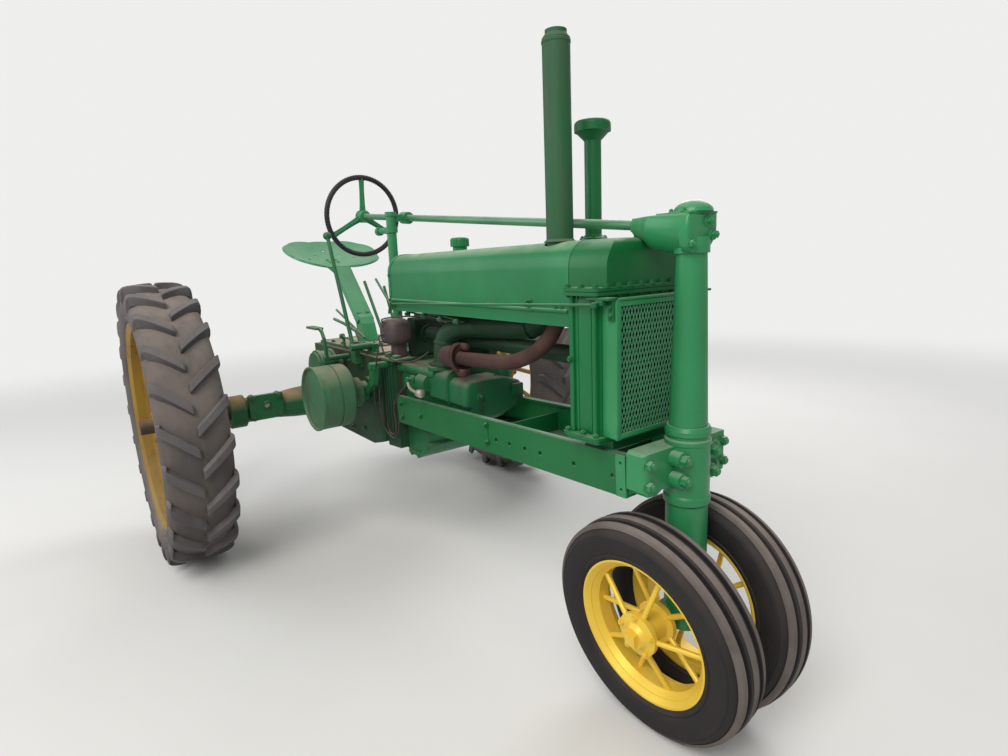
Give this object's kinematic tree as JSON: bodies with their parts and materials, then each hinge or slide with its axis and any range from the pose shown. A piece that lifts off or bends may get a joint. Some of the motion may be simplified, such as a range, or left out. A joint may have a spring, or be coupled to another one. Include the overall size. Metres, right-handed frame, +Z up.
{
  "type": "row-crop tractor",
  "caption": "Vintage row-crop farm tractor with paired front wheels, tall lugged rear tyres, open engine, long hood, stacks and overhead steering.",
  "frame": {"origin": "on the ground at the middle of the overall length and width", "axes": "+X towards the front wheels, +Y to the driver's left, +Z up"},
  "size_m": [3.103, 2.166, 1.958],
  "materials": {
    "green_enamel": "brush-marked green enamel, dusty on top",
    "dusty_enamel": "green enamel under dust and old oil",
    "wheel_yellow": "yellow enamel with grease stains",
    "tyre_rubber": "weathered dusty rubber",
    "rusty_iron": "heat-rusted iron",
    "magneto_case": "dull brown-black casting",
    "grip_black": "worn black moulded grip",
    "core_dark": "dark finned core"
  },
  "bodies": {
    "chassis": {"main_case": "green_enamel", "case_cover": "dusty_enamel", "axle_housing_right": "green_enamel", "axle_housing_left": "green_enamel", "brake_housing_right": "green_enamel", "brake_housing_left": "green_enamel", "engine_block": "green_enamel", "cylinder_head": "green_enamel", "rocker_cover": "green_enamel", "pulley_arm": "green_enamel", "magneto": "magneto_case", "governor_case": "green_enamel", "carburettor": "green_enamel", "air_cleaner": "green_enamel", "exhaust_manifold": "rusty_iron", "exhaust_stack": "green_enamel", "intake_stack": "green_enamel", "water_pipe": "green_enamel", "fan_shaft_tube": "green_enamel", "radiator": "green_enamel", "radiator_core": "core_dark", "radiator_top_tank": "green_enamel", "radiator_screen": "green_enamel", "hood": "green_enamel", "filler_caps": "green_enamel", "fuel_tank": "green_enamel", "frame_rail_right": "green_enamel", "frame_rail_left": "green_enamel", "cross_tray": "green_enamel", "front_casting": "green_enamel", "front_column": "green_enamel", "steering_gear_case": "green_enamel", "steering_post": "green_enamel", "seat": "green_enamel", "seat_support": "green_enamel", "lever_bracket": "green_enamel", "clutch_lever": "green_enamel", "control_levers": "green_enamel", "brake_pedals": "green_enamel", "drawbar": "green_enamel", "shutter_rod": "green_enamel"},
    "front_fork": {"front_fork": "green_enamel"},
    "front_wheel_right": {"front_wheel_right": "wheel_yellow", "front_tyre_right": "tyre_rubber"},
    "front_wheel_left": {"front_wheel_left": "wheel_yellow", "front_tyre_left": "tyre_rubber"},
    "rear_wheel_right": {"rear_wheel_right": "wheel_yellow", "rear_tyre_right": "tyre_rubber", "rear_axle_right": "green_enamel"},
    "rear_wheel_left": {"rear_wheel_left": "wheel_yellow", "rear_tyre_left": "tyre_rubber", "rear_axle_left": "green_enamel"},
    "belt_pulley": {"belt_pulley": "green_enamel"},
    "flywheel": {"flywheel": "green_enamel"},
    "fan": {"fan": "green_enamel"},
    "steering_wheel": {"steering_wheel": "grip_black", "steering_shaft": "green_enamel"}
  },
  "joints": [
    {"name": "steering", "type": "hinge", "parent": "chassis", "child": "front_fork", "pos_m": [1.2595, 0, 0.5], "axis": [0, 0, 1], "range_deg": [-75, 75]},
    {"name": "steering_wheel_turn", "type": "hinge", "parent": "chassis", "child": "steering_wheel", "pos_m": [1.2595, 0, 1.4], "axis": [-0.996, 0, 0.0889], "range_deg": [-905, 905]},
    {"name": "front_right_spin", "type": "hinge", "parent": "front_fork", "child": "front_wheel_right", "pos_m": [1.2315, -0.111, 0.31919], "axis": [0, 0.9945, 0.1045], "continuous": true},
    {"name": "front_left_spin", "type": "hinge", "parent": "front_fork", "child": "front_wheel_left", "pos_m": [1.2315, 0.111, 0.31919], "axis": [0, 0.9945, -0.1045], "continuous": true},
    {"name": "rear_right_spin", "type": "hinge", "parent": "chassis", "child": "rear_wheel_right", "pos_m": [-0.9035, -0.945, 0.648], "axis": [0, 1, 0], "continuous": true},
    {"name": "rear_left_spin", "type": "hinge", "parent": "chassis", "child": "rear_wheel_left", "pos_m": [-0.9035, 0.945, 0.648], "axis": [0, 1, 0], "continuous": true},
    {"name": "belt_pulley_spin", "type": "hinge", "parent": "chassis", "child": "belt_pulley", "pos_m": [-0.3235, -0.365, 0.774], "axis": [0, 1, 0], "continuous": true},
    {"name": "flywheel_spin", "type": "hinge", "parent": "chassis", "child": "flywheel", "pos_m": [-0.3235, 0.295, 0.774], "axis": [0, 1, 0], "continuous": true},
    {"name": "fan_spin", "type": "hinge", "parent": "chassis", "child": "fan", "pos_m": [0.9645, 0, 1.028], "axis": [1, 0, 0], "continuous": true}
  ],
  "couplings": [
    {"joint": "steering_wheel_turn", "follows": "steering", "ratio": 12}
  ]
}
